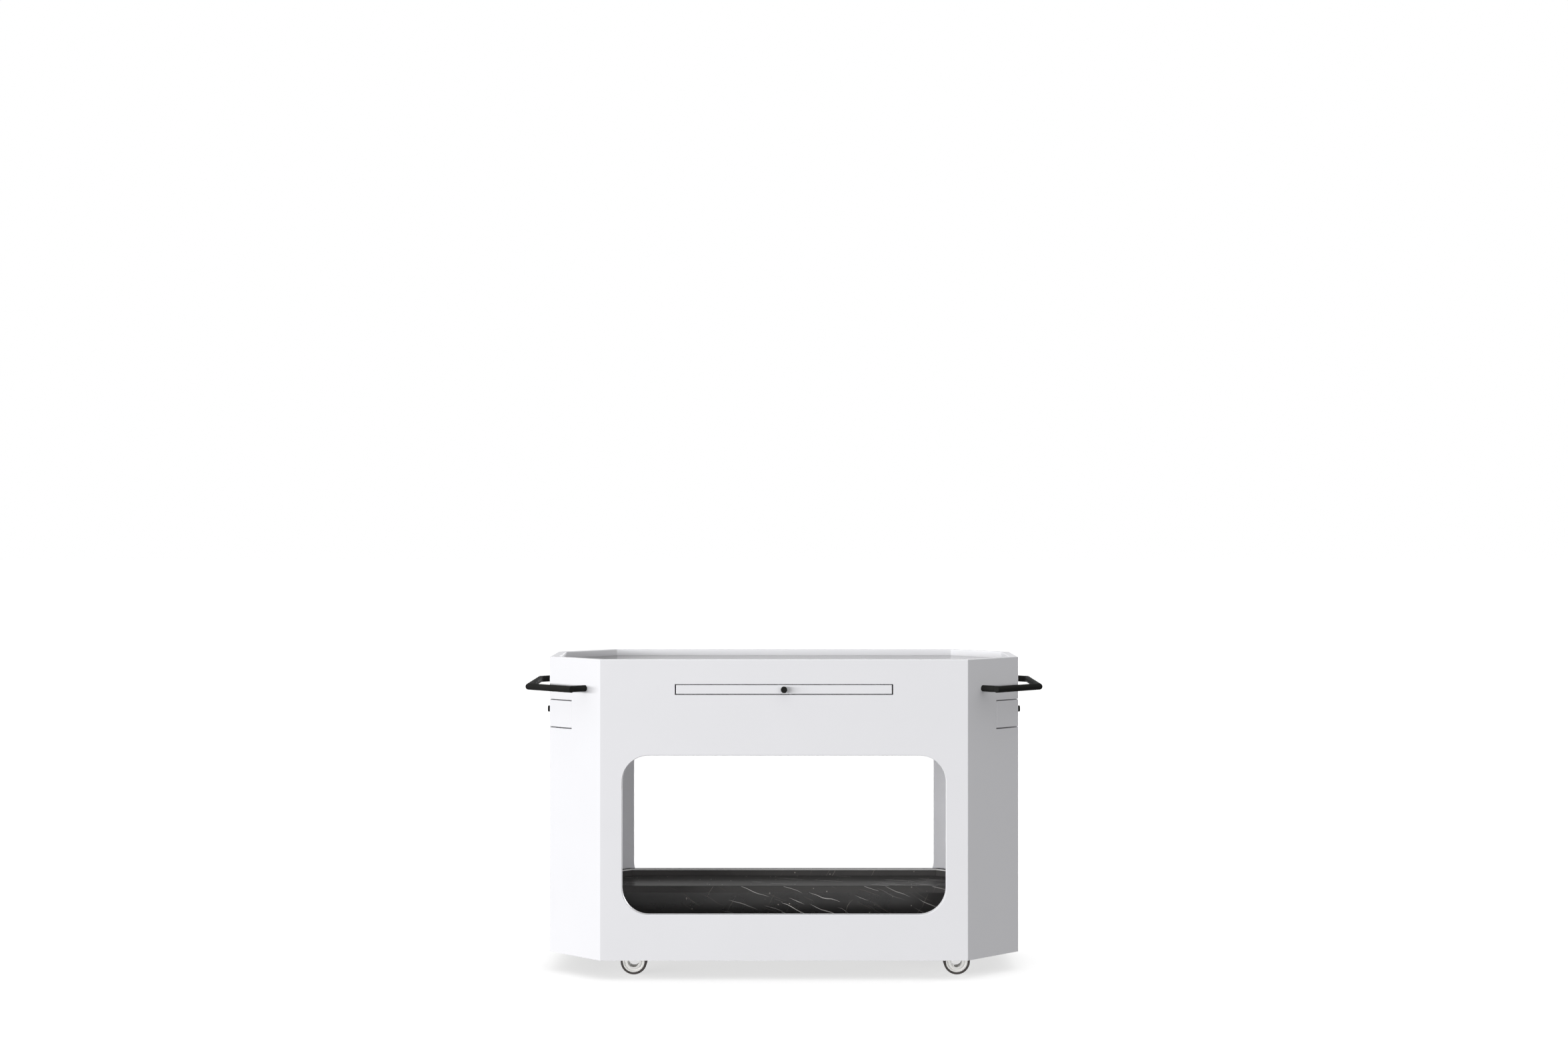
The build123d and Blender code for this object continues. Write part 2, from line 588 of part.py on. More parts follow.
# Fork: a cast web with a ring round the hollow axle, a hood over the wheels and a swivel head.
# Its swivel axis stands at the origin, and the wheel trails behind it along +X.
HUB = (TRAIL, WHEEL_RADIUS)
HOOD_INNER = WHEEL_RADIUS + HOOD_GAP
HOOD_OUTER = HOOD_INNER + HOOD_THICKNESS
with BuildPart() as fork:
    with BuildSketch(Plane.XZ):
        with Locations(HUB):
            Circle(FORK_RING / 2)
        head_half = FORK_HEAD / 2
        neck_z = FORK_HEAD_BOTTOM - HOOD_THICKNESS
        ring_left = TRAIL - FORK_RING / 2 * math.cos(math.radians(HOOD_START))
        ring_right = TRAIL + FORK_RING / 2 * math.sin(math.radians(HOOD_START))
        Polygon(
            (-head_half / 2, FORK_HEAD_BOTTOM),
            (ring_left - head_half / 2, neck_z - head_half),
            (ring_left, WHEEL_RADIUS),
            HUB,
            (ring_right, WHEEL_RADIUS),
            (TRAIL + head_half, neck_z),
            (TRAIL, FORK_HEAD_BOTTOM),
            align=None,
        )
    extrude(amount=FORK_WEB / 2, both=True)
    with BuildSketch(Plane.XZ):
        with BuildLine():
            hood_arc = CenterArc(HUB, (HOOD_INNER + HOOD_OUTER) / 2, HOOD_START, HOOD_SWEEP)
            offset(hood_arc, amount=HOOD_THICKNESS / 2, side=Side.BOTH)
        make_face()
    extrude(amount=WHEEL_WIDTH / 2, both=True)
    with BuildSketch(Plane.XY.offset(FORK_HEAD_BOTTOM)):
        Circle(FORK_HEAD / 2)
    extrude(amount=FORK_HEAD_TOP - FORK_HEAD_BOTTOM)
    with BuildSketch(Plane.XZ):
        with Locations(HUB):
            Circle(AXLE_DIAMETER / 2 + RUNNING_GAP)
    extrude(amount=FORK_WEB, both=True, mode=Mode.SUBTRACT)
    with BuildSketch(Plane.XY.offset(FORK_HEAD_TOP)):
        Circle(PIN_DIAMETER / 2 + PIN_PLAY)
    extrude(amount=-PIN_LENGTH, mode=Mode.SUBTRACT)


def wheel_ring(profile):
    """Turn a profile of (width, radius) points about the wheel's axis, on both sides of the fork."""
    with BuildPart() as ring:
        with BuildSketch(Plane((TRAIL, 0, WHEEL_RADIUS), x_dir=(0, 1, 0), z_dir=(1, 0, 0))):
            add(profile)
            mirror(about=Plane.YZ)
        revolve(axis=Axis((TRAIL, 0, WHEEL_RADIUS), (0, 1, 0)))
    return ring.part


# Hollow axle, rolled over into a flange at each end, that both wheels are pressed onto
HALF_WIDTH = WHEEL_WIDTH / 2
axle_face = HALF_WIDTH - AXLE_FACE_DROP
with BuildSketch() as axle_profile:
    with BuildLine():
        Polyline(
            (0, AXLE_BORE / 2),
            (axle_face, AXLE_BORE / 2),
            (axle_face, AXLE_FLANGE / 2),
            (axle_face - AXLE_FLANGE_THICKNESS, AXLE_FLANGE / 2),
            (axle_face - AXLE_FLANGE_THICKNESS, AXLE_DIAMETER / 2),
            (0, AXLE_DIAMETER / 2),
            close=True,
        )
    make_face()
    chamfer(axle_profile.vertices().group_by(Axis.X)[-1], EDGE_RADIUS / 2)

# Rim, recessed round the axle's flange
rim_inside = HALF_WIDTH - RIM_WIDTH
rim_step = HALF_WIDTH - RIM_RECESS
with BuildSketch() as rim_profile:
    with BuildLine():
        Polyline(
            (rim_inside, AXLE_DIAMETER / 2),
            (rim_step, AXLE_DIAMETER / 2),
            (rim_step, AXLE_FLANGE / 2 + FLANGE_GROOVE),
            (HALF_WIDTH, AXLE_FLANGE / 2 + FLANGE_GROOVE),
            (HALF_WIDTH, RIM_RADIUS),
            (rim_inside, RIM_RADIUS),
            close=True,
        )
    make_face()
    chamfer(rim_profile.vertices().group_by(Axis.X)[-1], EDGE_RADIUS / 2)

# Tyre, stretched over the rim, with sloped shoulders
with BuildSketch() as tyre_profile:
    with Locations((HALF_WIDTH - RIM_WIDTH / 2, RIM_RADIUS + TYRE_THICKNESS / 2)):
        Rectangle(TYRE_WIDTH, TYRE_THICKNESS)
    chamfer(tyre_profile.vertices().group_by(Axis.Y)[-1], TYRE_SHOULDER)

caster_pieces = {
    "fork": fork.part,
    "axle": wheel_ring(axle_profile.sketch),
    "rims": wheel_ring(rim_profile.sketch),
    "tyres": wheel_ring(tyre_profile.sketch),
}
for corner, place in CASTERS.items():
    for piece, part in caster_pieces.items():
        save(part.moved(Location((*place, 0))), f"{corner}_{piece}")
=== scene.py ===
"""Bar cart in a white studio: finishes for the frame's pieces, small fixings, light, floor and camera."""

import json
import logging
import math
from dataclasses import dataclass, replace
from enum import Enum

import bmesh
import bpy
from mathutils import Matrix, Vector


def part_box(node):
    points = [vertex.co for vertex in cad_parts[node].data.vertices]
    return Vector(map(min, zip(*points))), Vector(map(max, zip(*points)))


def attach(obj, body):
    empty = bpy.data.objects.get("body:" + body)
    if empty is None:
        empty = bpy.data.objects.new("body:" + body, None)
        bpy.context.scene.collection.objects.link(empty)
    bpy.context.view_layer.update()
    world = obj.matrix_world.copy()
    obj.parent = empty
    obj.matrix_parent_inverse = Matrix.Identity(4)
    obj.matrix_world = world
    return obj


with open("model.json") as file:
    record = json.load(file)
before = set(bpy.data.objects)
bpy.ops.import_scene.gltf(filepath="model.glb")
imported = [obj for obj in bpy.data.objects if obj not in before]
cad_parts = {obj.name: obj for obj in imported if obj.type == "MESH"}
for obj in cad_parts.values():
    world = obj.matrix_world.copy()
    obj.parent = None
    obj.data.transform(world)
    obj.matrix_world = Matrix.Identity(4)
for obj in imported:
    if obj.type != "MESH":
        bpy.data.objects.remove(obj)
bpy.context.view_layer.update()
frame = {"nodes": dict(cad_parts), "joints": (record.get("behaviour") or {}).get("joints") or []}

LOG = logging.getLogger("bar_cart")
MM = 0.001

# Sockets of the Mix node, which share their names and so are called by number.
SHARE = 0
FIRST_VECTOR, SECOND_VECTOR = 4, 5
FIRST_COLOUR, SECOND_COLOUR = 6, 7
MIXED_VECTOR, MIXED_COLOUR = 1, 2

# Share of its mean by which the roughness of any finish strays over the surface.
SHEEN_PLAY = 0.2

# Upward part of a face's normal: up to the first value it counts as upright, from the second on as flat.
UPRIGHT_RISE, FLAT_RISE = 0.3, 0.4
# Upward part of the normal of a bevel, where a painted highlight is drawn, and by how much it may be off.
BEVEL_RISE, BEVEL_PLAY = 0.7, 0.2

# How far the sheets of veins in a stone stray from even rows.
VEIN_SCATTER = 0.8
# Measures a sheet from its middle, so that its rim is at one, and leaves out the way across it.
ALONG_SHEET = (2.0, 2.0, 0.0)

# A button head from the foot of its rim to the edge of its top, in shares of its radius and of its height.
BUTTON_DOME = ((1.0, 0.0), (1.0, 0.3), (0.95, 0.55), (0.83, 0.8), (0.66, 0.96), (0.56, 1.0))
# Where the floor of the head's socket is, as a share of the height.
SOCKET_FLOOR = 0.4
# Edges of a screw that turn by more than this stay sharp.
SHARP_EDGE = math.radians(35)


class Corner(Enum):
    """The four corners of the cart, by the names that the frame gives them."""

    FRONT_LEFT = "front_left"
    FRONT_RIGHT = "front_right"
    REAR_LEFT = "rear_left"
    REAR_RIGHT = "rear_right"


class End(Enum):
    """The two ends of the cart."""

    LEFT = "left"
    RIGHT = "right"


def linear(hex_colour: str) -> tuple[float, float, float, float]:
    """Turn an sRGB hex colour into linear light.

    Args:
        hex_colour: a colour such as "#EBEBEE".

    Returns:
        Linear red, green and blue, and an alpha of one.
    """
    channels = [int(hex_colour[start:start + 2], 16) / 255 for start in (1, 3, 5)]
    red, green, blue = [c / 12.92 if c <= 0.04045 else ((c + 0.055) / 1.055) ** 2.4 for c in channels]
    return red, green, blue, 1.0


def per_metre(size_mm: float) -> float:
    """Texture scale at which one feature of a pattern is this many millimetres wide."""
    return 1 / (size_mm * MM)


def in_metres(sides_mm: tuple[float, float, float]) -> tuple[float, ...]:
    """Sides in metres of a feature that is given in millimetres."""
    return tuple(side * MM for side in sides_mm)


def add_node(
    tree: bpy.types.NodeTree, kind: str, inputs: dict[str | int, object] | None = None, **settings: object
) -> bpy.types.Node:
    """Add one shader node with its settings, values and links.

    Args:
        tree: the node tree that gets it.
        kind: Blender's name for the node, without the leading "ShaderNode".
        inputs: a plain value, a socket, or a node whose first output is meant, by input name or number.
        settings: properties of the node itself, such as its operation.

    Returns:
        The new node.
    """
    node = tree.nodes.new("ShaderNode" + kind)
    for name, value in settings.items():
        setattr(node, name, value)
    for key, value in (inputs or {}).items():
        if isinstance(value, bpy.types.Node):
            value = value.outputs[0]
        if isinstance(value, bpy.types.NodeSocket):
            tree.links.new(value, node.inputs[key])
        else:
            node.inputs[key].default_value = value
    return node


@dataclass(frozen=True)
class Finish:
    """What every finish has.

    Attributes:
        name: what the real material is called.
        slot: the record's material slot; not used here.
        colour: sRGB hex colour.
        roughness: mean roughness of the shader.
    """

    name: str
    slot: str
    colour: str
    roughness: float

    def surface(self, tree: bpy.types.NodeTree, place: bpy.types.NodeSocket) -> dict[str | int, object]:
        """Make the patterns of this finish.

        Args:
            tree: the material's node tree.
            place: the point on the piece, in metres.

        Returns:
            The inputs of the material's shader.
        """
        raise NotImplementedError

    def sheen(self, tree: bpy.types.NodeTree, noise: bpy.types.Node) -> bpy.types.Node:
        """Let the roughness stray a little from its mean, as it does on any finished surface."""
        low, high = self.roughness * (1 - SHEEN_PLAY), self.roughness * (1 + SHEEN_PLAY)
        return add_node(tree, "MapRange", {"Value": noise, "To Min": low, "To Max": high})

    def material(self) -> bpy.types.Material:
        """Make this finish's material, the first time that it is asked for.

        Returns:
            The material, which all pieces with this finish share.
        """
        made = bpy.data.materials.get(self.name)
        if made is None:
            made = bpy.data.materials.new(self.name)
            made.use_nodes = True
            tree = made.node_tree
            tree.nodes.clear()
            place = add_node(tree, "TexCoord").outputs["Object"]
            shader = add_node(tree, "BsdfPrincipled", self.surface(tree, place))
            add_node(tree, "OutputMaterial", {"Surface": shader})
        return made


@dataclass(frozen=True)
class SprayedCoat(Finish):
    """A sprayed or moulded coat of one colour.

    It gives the eye an even colour that clouds very slightly, a sheen and a fine grain.

    Attributes:
        shade: sRGB hex colour of the clouds.
        cloud_mm: how large the clouds are.
        grain_mm: how large one grain is.
        grain_depth_mm: how deep the grain is.
        gloss: specular level of the shader.
    """

    shade: str
    cloud_mm: float
    grain_mm: float
    grain_depth_mm: float
    gloss: float = 0.5

    def surface(self, tree: bpy.types.NodeTree, place: bpy.types.NodeSocket) -> dict[str | int, object]:
        """Cloud the colour a little and raise the grain.

        Args:
            tree: the material's node tree.
            place: the point on the piece, in metres.

        Returns:
            The inputs of the material's shader.
        """
        cloud_scale, grain_scale = per_metre(self.cloud_mm), per_metre(self.grain_mm)
        cloud = add_node(tree, "TexNoise", {"Vector": place, "Scale": cloud_scale, "Detail": 3.0})
        tint = add_node(
            tree,
            "Mix",
            {SHARE: cloud, FIRST_COLOUR: linear(self.shade), SECOND_COLOUR: linear(self.colour)},
            data_type="RGBA",
        )
        grain = add_node(tree, "TexNoise", {"Vector": place, "Scale": grain_scale, "Detail": 1.0})
        depth = self.grain_depth_mm * MM
        return {
            "Base Color": tint.outputs[MIXED_COLOUR],
            "Roughness": self.sheen(tree, cloud),
            "Specular IOR Level": self.gloss,
            "Normal": add_node(tree, "Bump", {"Height": grain, "Strength": 1.0, "Distance": depth}),
        }


@dataclass(frozen=True)
class Veins:
    """One family of veins in a stone: thin sheets of pale mineral that all lie the same way.

    A sheet shows on a sawn face as one stroke, thickest in its middle and tapered to both ends.

    Attributes:
        colour: sRGB hex colour of the mineral.
        length_mm: how long a sheet is along its lean.
        reach_mm: how wide it is the other way.
        spacing_mm: how far apart the sheets are.
        width_mm: how thick a sheet is in its middle.
        cover: share of the sheets that show where the stone is richest in veins.
        strength: how much of the ground the strongest of them hides, up to one.
        tilt: how the sheets are turned about X, Y and Z, in degrees.
        offset: how far they are moved along X, Y and Z, in metres, so that families don't fall together.
    """

    colour: str
    length_mm: float
    reach_mm: float
    spacing_mm: float
    width_mm: float
    cover: float
    strength: float
    tilt: tuple[float, float, float]
    offset: float


@dataclass(frozen=True)
class VeinedMarble(Finish):
    """Black marble, sawn into slabs.

    It gives the eye a dark ground with faint warm clouds, white strokes in staggered rows that lean
    the same way, steeper hairlines across them and small pale flecks. Flat slabs are sawn from the block
    turned on its side, so the strokes run as long on them as on upright faces. Upright faces are drawn
    brighter than flat ones, which is painted light, and a bevel gets its own paler colour, which is a painted
    highlight.

    Attributes:
        cloud: sRGB hex colour of the clouds.
        cloud_mm: how large the clouds are.
        painted_upright_light: how many times brighter an upright face of the slab is drawn than a flat one,
            as painted light.
        sawn_at_mm: how deep in the block the flat slabs are sawn.
        arris: sRGB hex colour of a bevel, a painted highlight.
        wander_mm: over what distance a vein changes its course.
        wander_reach_mm: how far it strays.
        patch_mm: how large the patches are that are rich in veins.
        patch_seed: which of many layouts of patches it is.
        patch_from: level of the patch noise at which veins begin to show.
        patch_full: level at which a patch is at its richest.
        fleck: sRGB hex colour of the flecks.
        fleck_spacing_mm: how far apart the flecks are.
        fleck_core_mm: radius of a fleck's core.
        fleck_rim_mm: radius at which a fleck fades out.
        fleck_strength: how much of the ground a fleck's core hides, up to one.
        gloss: specular level of the shader.
        veins: the families of veins, each drawn over those before it.
    """

    cloud: str
    cloud_mm: float
    painted_upright_light: float
    sawn_at_mm: float
    arris: str
    wander_mm: float
    wander_reach_mm: float
    patch_mm: float
    patch_seed: float
    patch_from: float
    patch_full: float
    fleck: str
    fleck_spacing_mm: float
    fleck_core_mm: float
    fleck_rim_mm: float
    fleck_strength: float
    gloss: float
    veins: tuple[Veins, ...]

    def surface(self, tree: bpy.types.NodeTree, place: bpy.types.NodeSocket) -> dict[str | int, object]:
        """Cloud the ground, draw the veins and the flecks over it, and paint light on upright faces and a
        highlight on bevels.

        Args:
            tree: the material's node tree.
            place: the point on the slab, in metres.

        Returns:
            The inputs of the material's shader.
        """
        normal = add_node(tree, "NewGeometry").outputs["Normal"]
        rise = add_node(tree, "SeparateXYZ", {"Vector": normal}).outputs["Z"]
        flat = add_node(tree, "MapRange", {"Value": rise, "From Min": UPRIGHT_RISE, "From Max": FLAT_RISE})
        block = self.in_block(tree, place, flat)
        cloud_scale = per_metre(self.cloud_mm)
        clouds = add_node(tree, "TexNoise", {"Vector": block, "Scale": cloud_scale, "Detail": 5.0})
        ground = self.ground(tree, clouds, flat)
        marked = self.flecked(tree, block, self.veined(tree, block, ground))
        # A bevel gets its own colour: a painted highlight.
        bevel = add_node(tree, "Math", {0: rise, 1: BEVEL_RISE, 2: BEVEL_PLAY}, operation="COMPARE")
        tint = add_node(
            tree,
            "Mix",
            {SHARE: bevel, FIRST_COLOUR: marked, SECOND_COLOUR: linear(self.arris)},
            data_type="RGBA",
        )
        return {
            "Base Color": tint.outputs[MIXED_COLOUR],
            "Roughness": self.sheen(tree, clouds),
            "Specular IOR Level": self.gloss,
        }

    def in_block(
        self, tree: bpy.types.NodeTree, place: bpy.types.NodeSocket, flat: bpy.types.Node
    ) -> bpy.types.NodeSocket:
        """Find where in the block a point of a slab was before the slab was sawn.

        Args:
            tree: the material's node tree.
            place: the point on the slab, in metres.
            flat: one where the face lies flat, nothing where it is upright.

        Returns:
            The point in the block, in metres.
        """
        deep = (0.0, self.sawn_at_mm * MM, 0.0)
        on_its_side = (math.pi / 2, 0.0, 0.0)
        turned = add_node(tree, "Mapping", {"Vector": place, "Location": deep, "Rotation": on_its_side})
        block = add_node(
            tree, "Mix", {SHARE: flat, FIRST_VECTOR: place, SECOND_VECTOR: turned}, data_type="VECTOR"
        )
        return block.outputs[MIXED_VECTOR]

    def ground(
        self, tree: bpy.types.NodeTree, clouds: bpy.types.Node, flat: bpy.types.Node
    ) -> bpy.types.NodeSocket:
        """Colour the stone between the veins.

        Args:
            tree: the material's node tree.
            clouds: noise that is high where the stone is cloudy.
            flat: one where the face lies flat, nothing where it is upright.

        Returns:
            The colour, brighter on upright faces, which is painted light.
        """
        tint = add_node(
            tree,
            "Mix",
            {SHARE: clouds, FIRST_COLOUR: linear(self.colour), SECOND_COLOUR: linear(self.cloud)},
            data_type="RGBA",
        )
        # Upright faces are drawn brighter than flat ones: painted light.
        paler = add_node(tree, "MapRange", {"Value": flat, "To Min": self.painted_upright_light, "To Max": 1.0})
        scaled = add_node(
            tree, "VectorMath", {0: tint.outputs[MIXED_COLOUR], "Scale": paler}, operation="SCALE"
        )
        return scaled.outputs[0]

    def veined(
        self, tree: bpy.types.NodeTree, block: bpy.types.NodeSocket, ground: bpy.types.NodeSocket
    ) -> bpy.types.NodeSocket:
        """Draw each family of veins over the ground.

        Args:
            tree: the material's node tree.
            block: the point in the block, in metres.
            ground: the colour of the stone between the veins.

        Returns:
            The colour with the veins.
        """
        wander_scale, patch_scale = per_metre(self.wander_mm), per_metre(self.patch_mm)
        drift = add_node(tree, "TexNoise", {"Vector": block, "Scale": wander_scale, "Detail": 2.0})
        reach = (self.wander_reach_mm * MM,) * 3
        bent = add_node(
            tree, "VectorMath", {0: drift.outputs["Color"], 1: reach, 2: block}, operation="MULTIPLY_ADD"
        )
        patches = add_node(
            tree,
            "TexNoise",
            {"Vector": block, "W": self.patch_seed, "Scale": patch_scale, "Detail": 0.0},
            noise_dimensions="4D",
        )
        for family in self.veins:
            vein = self.vein(tree, family, bent, patches)
            tint = add_node(
                tree,
                "Mix",
                {SHARE: vein, FIRST_COLOUR: ground, SECOND_COLOUR: linear(family.colour)},
                data_type="RGBA",
            )
            ground = tint.outputs[MIXED_COLOUR]
        return ground

    def vein(
        self, tree: bpy.types.NodeTree, family: Veins, bent: bpy.types.Node, patches: bpy.types.Node
    ) -> bpy.types.Node:
        """Find where one family of veins shows.

        Args:
            tree: the material's node tree.
            family: the veins.
            bent: the point in the block, led astray so that no vein is straight.
            patches: noise that is high where the stone is rich in veins.

        Returns:
            How much of a vein there is at the point, from nothing to one.
        """
        along = add_node(
            tree,
            "Mapping",
            {
                "Vector": bent,
                "Location": (family.offset,) * 3,
                "Rotation": tuple(math.radians(angle) for angle in family.tilt),
                "Scale": in_metres((family.length_mm, family.reach_mm, family.spacing_mm)),
            },
            vector_type="TEXTURE",
        )
        cells = add_node(tree, "TexVoronoi", {"Vector": along, "Scale": 1.0, "Randomness": VEIN_SCATTER})
        local = add_node(
            tree, "VectorMath", {0: along, 1: cells.outputs["Position"]}, operation="SUBTRACT"
        )
        in_sheet = add_node(tree, "VectorMath", {0: local, 1: ALONG_SHEET}, operation="MULTIPLY")
        spread = add_node(tree, "VectorMath", {0: in_sheet, 1: in_sheet}, operation="DOT_PRODUCT")
        half_width = family.width_mm / family.spacing_mm / 2
        taper = add_node(
            tree, "MapRange", {"Value": spread.outputs["Value"], "To Min": half_width, "To Max": 0.0}
        )
        height = add_node(tree, "SeparateXYZ", {"Vector": local}).outputs["Z"]
        across = add_node(tree, "Math", {0: height}, operation="ABSOLUTE")
        rich = add_node(
            tree,
            "MapRange",
            {
                "Value": patches,
                "From Min": self.patch_from,
                "From Max": self.patch_full,
                "To Min": 1.0,
                "To Max": 1.0 - family.cover,
            },
        )
        chance = add_node(tree, "SeparateColor", {"Color": cells.outputs["Color"]})
        held = add_node(
            tree,
            "MapRange",
            {"Value": chance, "From Min": rich, "From Max": 1.0, "To Min": 0.0, "To Max": family.strength},
        )
        return add_node(
            tree,
            "MapRange",
            {"Value": across, "From Min": 0.0, "From Max": taper, "To Min": held, "To Max": 0.0},
            interpolation_type="SMOOTHSTEP",
        )

    def flecked(
        self, tree: bpy.types.NodeTree, block: bpy.types.NodeSocket, ground: bpy.types.NodeSocket
    ) -> bpy.types.NodeSocket:
        """Scatter small pale flecks over the stone.

        Args:
            tree: the material's node tree.
            block: the point in the block, in metres.
            ground: the colour under the flecks.

        Returns:
            The colour with the flecks.
        """
        spacing = self.fleck_spacing_mm
        fleck = add_node(tree, "TexVoronoi", {"Vector": block, "Scale": per_metre(spacing)})
        dot = add_node(
            tree,
            "MapRange",
            {
                "Value": fleck,
                "From Min": self.fleck_core_mm / spacing,
                "From Max": self.fleck_rim_mm / spacing,
                "To Min": self.fleck_strength,
                "To Max": 0.0,
            },
            interpolation_type="SMOOTHSTEP",
        )
        tint = add_node(
            tree,
            "Mix",
            {SHARE: dot, FIRST_COLOUR: ground, SECOND_COLOUR: linear(self.fleck)},
            data_type="RGBA",
        )
        return tint.outputs[MIXED_COLOUR]


@dataclass(frozen=True)
class PlatedSteel(Finish):
    """Rolled and plated steel.

    It gives the eye a cool grey metal whose gloss varies a little along the rolling direction.

    Attributes:
        shade: sRGB hex colour of the streaks.
        streak_mm: how large a streak is along X, Y and Z.
    """

    shade: str
    streak_mm: tuple[float, float, float]

    def surface(self, tree: bpy.types.NodeTree, place: bpy.types.NodeSocket) -> dict[str | int, object]:
        """Streak the colour and the gloss along the metal.

        Args:
            tree: the material's node tree.
            place: the point on the piece, in metres.

        Returns:
            The inputs of the material's shader.
        """
        size = in_metres(self.streak_mm)
        along = add_node(tree, "Mapping", {"Vector": place, "Scale": size}, vector_type="TEXTURE")
        streak = add_node(tree, "TexNoise", {"Vector": along, "Scale": 1.0, "Detail": 3.0})
        tint = add_node(
            tree,
            "Mix",
            {SHARE: streak, FIRST_COLOUR: linear(self.shade), SECOND_COLOUR: linear(self.colour)},
            data_type="RGBA",
        )
        return {
            "Base Color": tint.outputs[MIXED_COLOUR],
            "Metallic": 1.0,
            "Roughness": self.sheen(tree, streak),
        }


@dataclass(frozen=True)
class Timber(Finish):
    """Planed and finished wood.

    It gives the eye a warm ground with long soft streaks, short dark pores along the grain and a dull sheen.

    Attributes:
        streak: sRGB hex colour of the streaks.
        pore: sRGB hex colour of the pores.
        grain_mm: how large a streak is along X, Y and Z.
        pore_mm: how large a pore is along X, Y and Z.
        stave_mm: how wide a glued stave is along Y.
        stave_tone: how much a stave's own tone counts beside its grain.
        streak_from: level of the grain at which the streaks begin.
        pore_from: level of the pore noise at which a pore begins.
        pore_full: level at which it is at its darkest.
        pore_strength: how much of the ground a pore hides, up to one.
        pore_depth_mm: how deep the pores are.
        pore_relief: how much of that depth shows, up to one.
    """

    streak: str
    pore: str
    grain_mm: tuple[float, float, float]
    pore_mm: tuple[float, float, float]
    stave_mm: float
    stave_tone: float = 0.35
    streak_from: float = 0.35
    pore_from: float = 0.6
    pore_full: float = 0.72
    pore_strength: float = 0.6
    pore_depth_mm: float = 0.2
    pore_relief: float = 0.3

    def surface(self, tree: bpy.types.NodeTree, place: bpy.types.NodeSocket) -> dict[str | int, object]:
        """Streak the wood, draw its pores, and give each glued stave its own tone.

        Args:
            tree: the material's node tree.
            place: the point on the piece, in metres.

        Returns:
            The inputs of the material's shader.
        """
        side = add_node(tree, "SeparateXYZ", {"Vector": place}).outputs["Y"]
        count = add_node(tree, "Math", {0: side, 1: self.stave_mm * MM}, operation="DIVIDE")
        stave = add_node(tree, "Math", {0: count}, operation="FLOOR")
        tone = add_node(tree, "TexWhiteNoise", {"W": stave}, noise_dimensions="1D")
        shift = add_node(tree, "VectorMath", {0: tone.outputs["Color"], 1: place}, operation="ADD")
        grain_size, pore_size = in_metres(self.grain_mm), in_metres(self.pore_mm)
        along = add_node(tree, "Mapping", {"Vector": shift, "Scale": grain_size}, vector_type="TEXTURE")
        grain = add_node(
            tree, "TexNoise", {"Vector": along, "Scale": 1.0, "Detail": 4.0, "Distortion": 0.4}
        )
        mixed = add_node(tree, "Math", {0: tone, 1: self.stave_tone, 2: grain}, operation="MULTIPLY_ADD")
        share = add_node(
            tree, "MapRange", {"Value": mixed, "From Min": self.streak_from, "From Max": 1.0}
        )
        tint = add_node(
            tree,
            "Mix",
            {SHARE: share, FIRST_COLOUR: linear(self.colour), SECOND_COLOUR: linear(self.streak)},
            data_type="RGBA",
        )
        short = add_node(tree, "Mapping", {"Vector": shift, "Scale": pore_size}, vector_type="TEXTURE")
        pores = add_node(tree, "TexNoise", {"Vector": short, "Scale": 1.0, "Detail": 1.0})
        mark = add_node(
            tree,
            "MapRange",
            {
                "Value": pores,
                "From Min": self.pore_from,
                "From Max": self.pore_full,
                "To Min": 0.0,
                "To Max": self.pore_strength,
            },
        )
        tint = add_node(
            tree,
            "Mix",
            {SHARE: mark, FIRST_COLOUR: tint.outputs[MIXED_COLOUR], SECOND_COLOUR: linear(self.pore)},
            data_type="RGBA",
        )
        depth = self.pore_depth_mm * MM
        return {
            "Base Color": tint.outputs[MIXED_COLOUR],
            "Roughness": self.sheen(tree, pores),
            "Normal": add_node(
                tree, "Bump", {"Height": pores, "Strength": self.pore_relief, "Distance": depth}
            ),
        }


# Satin lacquer sprayed on MDF: an even, slightly cool white with a soft broad sheen and a faint orange peel.
# The peel is really about 2 mm across, and is drawn at 7 mm so that it shows.
LACQUER = SprayedCoat(
    name="Satin lacquer on MDF", slot="white_lacquer", colour="#EBEBEE", roughness=0.5,
    shade="#E8E8EB", cloud_mm=160, grain_mm=7, grain_depth_mm=0.02, gloss=0.12,
)
